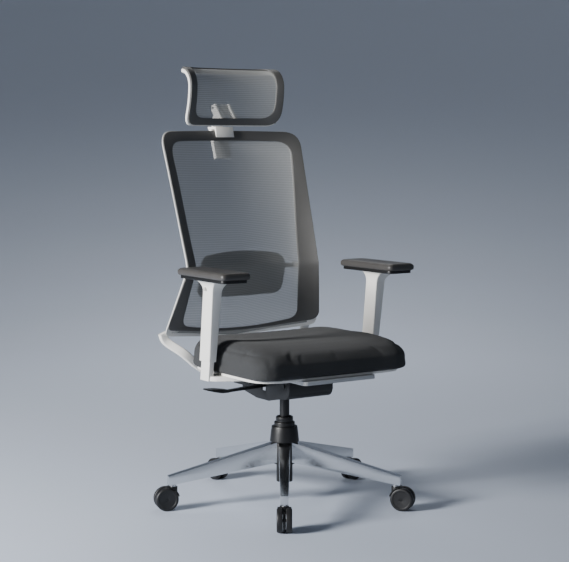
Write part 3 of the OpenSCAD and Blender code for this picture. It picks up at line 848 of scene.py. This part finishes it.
@dataclass
class Back:
    """The white back frame, its dark rim, the mesh between them and the yoke."""

    waist_w: float = 0.224
    waist_z: float = 0.663
    waist_y: float = 0.152
    top: float = 1.057
    bow: float = 0.052
    wing: float = 0.038
    wing_z: float = 0.700
    wing_reach: float = 0.180
    slope_up: float = 0.34
    slope_down: float = -0.35
    side_up: float = 0.044
    side_down: float = -0.216
    knee: float = 0.012
    rail_low: float = 0.436
    corner_x: float = 0.266
    corner_z: float = 0.466
    top_fall: float = 5 * MM
    mesh_inset: float = 18 * MM

    def kinked(self, rise: float, up: float, down: float) -> float:
        """A line that changes slope smoothly at the waist."""
        bend = math.hypot(rise, self.knee) - self.knee
        return rise * (up + down) / 2 + bend * (up - down) / 2

    def half_width(self, z: float) -> float:
        """Half the back's width at a height."""
        return self.waist_w + self.kinked(z - self.waist_z, self.side_up, self.side_down)

    def on_face(self, x: float, z: float, depth: float) -> Vector:
        """The point a depth behind the back's face, whose sides wrap forward round the waist."""
        lean = self.kinked(z - self.waist_z, self.slope_up, self.slope_down)
        share = x / self.half_width(z)
        wrap = math.exp(-(((z - self.wing_z) / self.wing_reach) ** 2))
        bow = (self.bow - (self.wing - 4 * MM) * wrap) * (1 - share**2)
        return Vector((x, self.waist_y + lean + bow + self.wing * wrap * (1 - share**8) + depth, z))

    def outline(self, side: float, low_side: float, top: float, low: float) -> list[Flat]:
        """The back from the front, moved in at its sides, low sides, top and foot."""
        head = self.half_width(self.top) - side
        waist = self.waist_w - (side + low_side) / 2
        foot = self.corner_x - low_side
        corners = [
            (-foot, self.corner_z + low), (0.0, self.rail_low + low * 0.86), (foot, self.corner_z + low),
            (waist, self.waist_z), (head, self.top - self.top_fall - top), (0.0, self.top - top),
            (-head, self.top - self.top_fall - top), (-waist, self.waist_z),
        ]
        corner = 24 * MM + low * 0.2
        rounds = [corner, 0.15, corner, 0.026, 0.046, 0.15, 0.046, 0.026]
        return rounded_outline(corners, rounds, 8, 10)

    def build(self) -> None:
        """Make every piece of the back."""
        shell = band(
            "back_frame_shell", self.outline(0, 0, 0, 0), self.outline(28 * MM, 58 * MM, 27 * MM, 22 * MM),
            (4.9 * MM, 17 * MM), 4 * MM, self.on_face, bevel=9 * MM,
        )
        smooth(shell, 50)
        fit(shell, "back", WHITE_NYLON, "white_plastic", "back_frame")
        rim = band(
            "back_rim_moulding", self.outline(2 * MM, 2 * MM, 2 * MM, 19 * MM),
            self.outline(31 * MM, 65 * MM, 31 * MM, 26 * MM), (-2 * MM, 2.9 * MM), 1.8 * MM, self.on_face,
        )
        smooth(rim, 50)
        fit(rim, "back", GREY_NYLON, "rim_plastic", "back_rim")
        self.mesh()
        self.yoke()

    def mesh(self) -> None:
        """Stretch the mesh between the rim and the frame."""

        def place(across: float, along: float) -> Vector:
            reach = abs(across) * 0.24
            low = self.rail_low + (self.corner_z - self.rail_low) * reach / self.corner_x + 11 * MM
            top = self.top - self.top_fall * reach / self.corner_x - 13 * MM
            z = low + (top - low) * (along + 1) / 2
            inset = self.mesh_inset + 10 * MM * min(1.0, max(0.0, self.waist_z - z) / 0.1)
            return self.on_face(across * (self.half_width(z) - inset), z, 3.9 * MM)

        sheet = cloth_grid("back_mesh_sheet", 60, 90, place)
        width, length, area = sheet_size(sheet, 60, 90)
        finish = StretchMesh(
            "grey_stretch_mesh", "#aaaaa6", 0.7, relief=0.3 * MM, sheen=0.15, width=width, length=length
        )
        smooth(sheet, 180)
        fit(sheet, "back", finish, "mesh_fabric", "back_mesh")

    def yoke(self) -> None:
        """Sweep the yoke from one back corner, down under the seat and up to the other."""
        path = [
            Vector((0.0, 0.198, 0.334)), Vector((0.060, 0.200, 0.336)), Vector((0.112, 0.206, 0.350)),
            Vector((0.160, 0.214, 0.378)), Vector((0.202, 0.221, 0.414)), Vector((0.238, 0.2555, 0.446)),
            Vector((0.250, 0.2585, 0.472)),
        ]
        arm = curved(path, 6)
        mirrored = [Vector((-p.x, p.y, p.z)) for p in reversed(arm[1:])]
        line = mirrored + arm
        rings = []
        for i, point in enumerate(line):
            ahead = line[min(i + 1, len(line) - 1)] - line[max(i - 1, 0)]
            along = Vector((ahead.x, 0.0, ahead.z)).normalized()
            up = Vector((-along.z, 0.0, along.x))
            tall = 28 * MM - 4 * MM * abs(point.x) / 0.250
            ring = [
                point + up * (across - tall / 2) + Vector((0.0, depth, 0.0))
                for across, depth in rounded_section(tall, -8 * MM, 8 * MM, 4 * MM)
            ]
            rings.append(ring)
        arms = loft("back_yoke_arms", rings)
        smooth(arms, 40)
        fit(arms, "back", WHITE_NYLON, "white_plastic", "back_yoke")


def sheet_size(sheet: Object, across: int, along: int) -> tuple[float, float, float]:
    """Measure a stretched sheet as if it lay flat.

    Args:
        sheet: the sheet, still a grid.
        across: squares from side to side.
        along: squares from foot to top.

    Returns:
        Its greatest width, its greatest length and its area.
    """
    points = [v.co for v in sheet.data.vertices]
    row = across + 1
    widths = [
        sum((points[j * row + i + 1] - points[j * row + i]).length for i in range(across))
        for j in range(along + 1)
    ]
    lengths = [
        sum((points[(j + 1) * row + i] - points[j * row + i]).length for j in range(along))
        for i in range(row)
    ]
    return max(widths), max(lengths), sum(p.area for p in sheet.data.polygons)


@dataclass
class LumbarSupport:
    """The pad behind the mesh, its black carrier and the white lugs that hold it."""

    back: Back

    def build(self) -> None:
        """Make every piece of the lumbar support."""
        pad = self.pad()
        fit(pad, "lumbar", SEAT_CLOTH, "seat_fabric", "lumbar_pad")
        rounded_part("lumbar_carrier", "moulding", 0.8 * MM, "lumbar", BLACK_NYLON, "black_plastic")
        rounded_part("lumbar_lugs", "moulding", 1.2 * MM, "back", WHITE_NYLON, "white_plastic")

    def pad(self) -> Object:
        """Loft the arched pad."""
        half, foot, shoulder, top = 0.148, 0.570, 0.690, 0.706
        levels = [
            (60, 11.2), (30, 11.4), (14, 12), (5, 13.4), (1, 16), (0, 18.5), (1, 21), (5, 23.6),
            (14, 25), (30, 25.4), (60, 25.5),
        ]
        rings = []
        for inset, depth in levels:
            side = half - inset * MM
            low = foot + inset * MM
            corners = [
                (-side, low), (0.0, low - 6 * MM), (side, low),
                (side - 2 * MM, shoulder - inset * MM), (0.0, top - inset * MM),
                (-side + 2 * MM, shoulder - inset * MM),
            ]
            below, above = (max(6.0, start - inset * 0.4) * MM for start in (32, 36))
            rounds = [below, 0.07, below, above, 0.07, above]
            outline = rounded_outline(corners, rounds, 8, 6)
            rings.append([self.back.on_face(x, z, depth * MM) for x, z in outline])
        shape = loft("lumbar_pad_cover", rings)
        smooth(shape, 180)
        return shape


# ---- the headrest --------------------------------------------------------------


@dataclass
class Headrest:
    """The white headrest frame, its dark rim, its mesh, and the clip and stem that hold it."""

    half: float = 0.162
    length: float = 0.220
    foot_z: float = 1.066
    flat_run: float = 0.115
    curl: float = 0.054
    face_y: float = 0.241
    bow: float = 0.020
    hollow: float = 2.4

    def on_face(self, x: float, run: float, depth: float) -> Vector:
        """The point a depth behind the headrest's face.

        Args:
            x: the distance from the middle.
            run: the distance up the face from its foot.
            depth: the depth.

        Returns:
            The point.
        """
        turn = max(0.0, (run - self.flat_run) / self.curl)
        low = min(run, self.flat_run) - self.flat_run
        y = self.face_y + self.hollow * low * low + self.curl * (1 - math.cos(turn))
        z = self.foot_z + min(run, self.flat_run) + self.curl * math.sin(turn)
        bow = self.bow * (1 - (x / self.half) ** 2)
        return Vector((x, y + bow + depth * math.cos(turn), z - depth * math.sin(turn)))

    def outline(self, side: float, top: float, low: float) -> list[Flat]:
        """The headrest laid flat, moved in at its sides, top and foot."""
        x = self.half - side
        corners = [(-x, low), (x, low), (x, self.length - top), (-x, self.length - top)]
        return rounded_outline(corners, [0.034, 0.042, 0.042, 0.034], 8, 26)

    def build(self) -> None:
        """Make every piece of the headrest."""
        shell = band(
            "headrest_frame_shell", self.outline(0, 0, 0), self.outline(22 * MM, 12 * MM, 18 * MM),
            (4.0 * MM, 15 * MM), 3.5 * MM, self.on_face,
        )
        smooth(shell, 50)
        fit(shell, "headrest", WHITE_NYLON, "white_plastic", "headrest_frame")
        rim = band(
            "headrest_rim_moulding", self.outline(3 * MM, 3 * MM, 3 * MM),
            self.outline(26 * MM, 14 * MM, 23 * MM), (-2 * MM, 1.6 * MM), 1.4 * MM, self.on_face,
        )
        smooth(rim, 50)
        fit(rim, "headrest", GREY_NYLON, "rim_plastic", "headrest_rim")
        self.mesh()
        rounded_part("headrest_clip", "moulding", 1.4 * MM, "back", WHITE_NYLON, "white_plastic")
        rounded_part("headrest_stem", "moulding", 1.6 * MM, "headrest_post", WHITE_NYLON, "white_plastic")
        keep("headrest_pin", ZINC)
        self.cheeks()

    def cheeks(self) -> None:
        """Cut the two cheeks that carry the headrest on its pin."""
        side_view = [(300, 1069), (305, 1068), (350, 1110), (350, 1128), (332, 1133), (290, 1086)]
        for side, start in ((Side.LEFT, 17.6), (Side.RIGHT, -29.0)):
            corners = [Vector((start, y, z)) * MM for y, z in side_view]
            cheek = slab(f"headrest_cheek_{side.letter}", corners, (11.4 * MM, 0.0, 0.0), 2 * MM)
            fit(cheek, "headrest", WHITE_NYLON, "white_plastic")

    def mesh(self) -> None:
        """Stretch the mesh over the headrest."""

        def place(across: float, along: float) -> Vector:
            run = 9 * MM + (self.length - 14 * MM) * (along + 1) / 2
            return self.on_face(across * (self.half - 12 * MM), run, 2.7 * MM)

        sheet = cloth_grid("headrest_mesh_sheet", 48, 40, place)
        width, length, area = sheet_size(sheet, 48, 40)
        finish = StretchMesh(
            "grey_stretch_mesh_small", "#a8a8a4", 0.7, relief=0.3 * MM, sheen=0.15, solid=0.72,
            width=width, length=length,
        )
        smooth(sheet, 180)
        fit(sheet, "headrest", finish, "mesh_fabric", "headrest_mesh")


# ---- the arms ------------------------------------------------------------------


@dataclass
class Arm:
    """One arm: bracket and inner post, flared sleeve, button, base plate and soft pad."""

    side: Side
    x: float = 0.273
    y: float = -0.039
    z: float = 0.450
    lean: float = math.radians(7.8)
    foot_z: float = 0.429
    ceiling: float = 0.638
    top: float = 0.651
    flare_h: float = 0.034
    flare_out: float = 0.021
    flare_in: float = 0.013
    flare_front: float = 0.050
    flare_rear: float = 0.024

    def build(self) -> None:
        """Make every piece of one arm."""
        arm = f"arm_{self.side.letter}"
        rounded_part(f"{arm}_bracket", "casting", 2.2 * MM, "seat", WHITE_NYLON, "white_plastic")
        fit(self.sleeve_shell(), f"{arm}_post", WHITE_NYLON, "white_plastic", f"{arm}_sleeve")
        keep(f"{arm}_button", GREY_BUTTON)
        rounded_part(f"{arm}_base", "moulding", 1.2 * MM, f"{arm}_swivel", BLACK_NYLON, "base_plastic")
        pad = self.pad()
        fit(pad, f"{arm}_top", PAD_SKIN, "arm_pad", f"{arm}_pad")

    def ring(self, z: float, half: Flat, radius: float, share: float = 0.0) -> Ring:
        """One rounded rectangle round the leaning post.

        Args:
            z: its height.
            half: half its width and half its length.
            radius: the radius of its corners.
            share: how much of the flare it has.

        Returns:
            The ring.
        """
        inner, outer = -half[0] - self.flare_in * share, half[0] + self.flare_out * share
        front, rear = -half[1] - self.flare_front * share, half[1] + self.flare_rear * share
        y = self.y - (z - self.z) * math.tan(self.lean)
        return [
            Vector((self.side.value * (self.x + inner + across), y + depth, z))
            for across, depth in rounded_section(outer - inner, front, rear, radius, 5)
        ]

    def sleeve_shell(self) -> Object:
        """Loft the sleeve from the ceiling of its pocket, down, out and up to its flare."""
        pocket = (7.35 * MM, 22.05 * MM)
        foot, neck = (11.5 * MM, 26.7 * MM), (15.5 * MM, 25 * MM)
        rings = [
            self.ring(self.ceiling, pocket, 0.8 * MM),
            self.ring(self.ceiling - 1 * MM, pocket, 0.8 * MM),
            self.ring(self.foot_z + 1 * MM, pocket, 0.8 * MM),
            self.ring(self.foot_z, (7.8 * MM, 22.5 * MM), 1.2 * MM),
            self.ring(self.foot_z, (10.3 * MM, 25.5 * MM), 2.2 * MM),
            self.ring(self.foot_z + 0.4 * MM, (11.2 * MM, 26.4 * MM), 2.6 * MM),
            self.ring(self.foot_z + 1.4 * MM, foot, 3 * MM),
        ]
        start = self.top - self.flare_h
        for k in range(1, 9):
            t = k / 8
            half = (foot[0] + (neck[0] - foot[0]) * t, foot[1] + (neck[1] - foot[1]) * t)
            rings.append(self.ring(self.foot_z + (start - self.foot_z) * t, half, 3 * MM))
        for degrees in range(6, 79, 6):
            turn = math.radians(degrees)
            share = 1 - math.cos(turn)
            rings.append(self.ring(start + self.flare_h * math.sin(turn), neck, (3 + 5 * share) * MM, share))
        rings.append(self.ring(self.top - 0.5 * MM, neck, 7.5 * MM, 0.88))
        rings.append(self.ring(self.top, neck, 7 * MM, 0.86))
        shape = loft(f"arm_{self.side.letter}_sleeve_shell", rings)
        smooth(shape, 40)
        return shape

    def pad(self) -> Object:
        """Loft the soft pad, crowned, with its edges rounded."""
        low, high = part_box(f"arm_{self.side.letter}_pad")
        centre = (low + high) / 2
        half_x, half_y, height = (high.x - low.x) / 2, (high.y - low.y) / 2, high.z - low.z
        levels = [
            (26, 0.0), (6, 0.0), (3.5, 0.02), (1.2, 0.1), (0.2, 0.25), (0, 0.48), (0.5, 0.64),
            (2.2, 0.78), (5.2, 0.9), (9, 0.955), (16, 0.985), (26, 1.0), (36, 1.0),
        ]
        rings = []
        for inset, share in levels:
            x, y = half_x - inset * MM, half_y - inset * MM
            corners = [(-x, -y), (x, -y), (x, y), (-x, y)]
            turn = min(13 * MM, x * 0.9)
            ring = [
                Vector((centre.x + u, centre.y + v, low.z + share * height))
                for u, v in rounded_outline(corners, [turn] * 4, 8, 8)
            ]
            rings.append(ring)
        shape = loft(f"arm_{self.side.letter}_pad_skin", rings)
        smooth(shape, 180)
        return shape


# ---- the studio ----------------------------------------------------------------


@dataclass
class Studio:
    """The pale floor that curves up all round, four soft lights and the camera."""

    azimuth: float = math.radians(-33.56)
    pitch: float = math.radians(-5.318)
    distance: float = 4.145
    height: float = 1.016
    lens: float = 93.56
    flat: float = 3.5
    sweep: float = 6.0

    def build(self) -> None:
        """Make the floor, the lights and the camera."""
        self.floor()
        self.camera()
        aside = Vector((math.cos(self.azimuth), math.sin(self.azimuth), 0.0))
        toward = Vector((math.sin(self.azimuth), -math.cos(self.azimuth), 0.0))
        up = Vector((0.0, 0.0, 1.0))
        chair = Vector((0.0, 0.0, 0.6))
        self.lamp("key_softbox", aside * -3.2 + toward * 2.0 + up * 1.6, chair, 1.0, 340.0)
        self.lamp("fill_softbox", aside * 1.6 + toward * 3.4 + up * 1.6, chair, 2.5, 4.0)
        self.lamp("top_softbox", up * 3.4 + toward * -0.8, chair, 2.0, 4.0)
        behind = toward * -3.2 + up * 3.2
        self.lamp("backdrop_softbox", behind, behind - up, 2.0, 38.0, 130.0)
        world = bpy.context.scene.world or bpy.data.worlds.new("world")
        bpy.context.scene.world = world
        world.use_nodes = True
        world.node_tree.nodes["Background"].inputs["Color"].default_value = linear("#cfdcee")
        world.node_tree.nodes["Background"].inputs["Strength"].default_value = 0.045

    def floor(self) -> None:
        """Spin the floor's profile round the middle."""
        deselect_all()
        bpy.ops.mesh.primitive_circle_add(vertices=96, radius=self.flat, fill_type="NGON")
        floor = named("studio_floor")
        with editing(floor):
            bpy.ops.mesh.select_mode(type="EDGE")
            bpy.ops.mesh.select_all(action="SELECT")
            bpy.ops.mesh.region_to_loop()
            for k in range(1, 13):
                turn = math.radians(90 * k / 12)
                before = math.radians(90 * (k - 1) / 12)
                radius = self.flat + self.sweep * math.sin(turn)
                wider = radius / (self.flat + self.sweep * math.sin(before))
                rise = self.sweep * (math.cos(before) - math.cos(turn))
                bpy.ops.mesh.extrude_edges_move(TRANSFORM_OT_translate={"value": (0.0, 0.0, rise)})
                bpy.ops.transform.resize(value=(wider, wider, 1.0), center_override=(0.0, 0.0, 0.0))
            bpy.ops.mesh.extrude_edges_move(TRANSFORM_OT_translate={"value": (0.0, 0.0, 3.0)})
        smooth(floor, 60)
        paint = Finish("studio_floor_paint", "#bcc5d4", 0.9, tone=0.0, relief=0.0)
        floor.data.materials.append(paint.material())

    def lamp(
        self, name: str, place: Vector, target: Vector, size: float, power: float, spread: float = 180.0
    ) -> None:
        """Hang one square soft light.

        Args:
            name: its name.
            place: where it hangs.
            target: the point that it faces.
            size: the length of its side.
            power: its power in watts.
            spread: how wide its grid lets the light out, in degrees.
        """
        data = bpy.data.lights.new(name, "AREA")
        data.size = size
        data.energy = power
        data.spread = math.radians(spread)
        lamp = bpy.data.objects.new(name, data)
        bpy.context.scene.collection.objects.link(lamp)
        lamp.location = place
        lamp.rotation_euler = (target - place).to_track_quat("-Z", "Y").to_euler()
        lamp.visible_camera = False

    def camera(self) -> None:
        """Set the camera."""
        data = bpy.data.cameras.new("camera")
        data.lens = self.lens
        camera = bpy.data.objects.new("camera", data)
        bpy.context.scene.collection.objects.link(camera)
        camera.location = (
            self.distance * math.sin(self.azimuth), -self.distance * math.cos(self.azimuth), self.height
        )
        camera.rotation_euler = (math.pi / 2 + self.pitch, 0.0, self.azimuth)
        bpy.context.scene.camera = camera


def main() -> None:
    """Build the chair and the studio."""
    logging.basicConfig(level=logging.INFO, format="%(name)s: %(message)s")
    Studio().build()
    StarBase().build()
    GasLift().build()
    TiltMechanism().build()
    Seat().build()
    back = Back()
    back.build()
    LumbarSupport(back).build()
    Headrest().build()
    for side in Side:
        Arm(side).build()


if __name__ == "__main__":
    main()
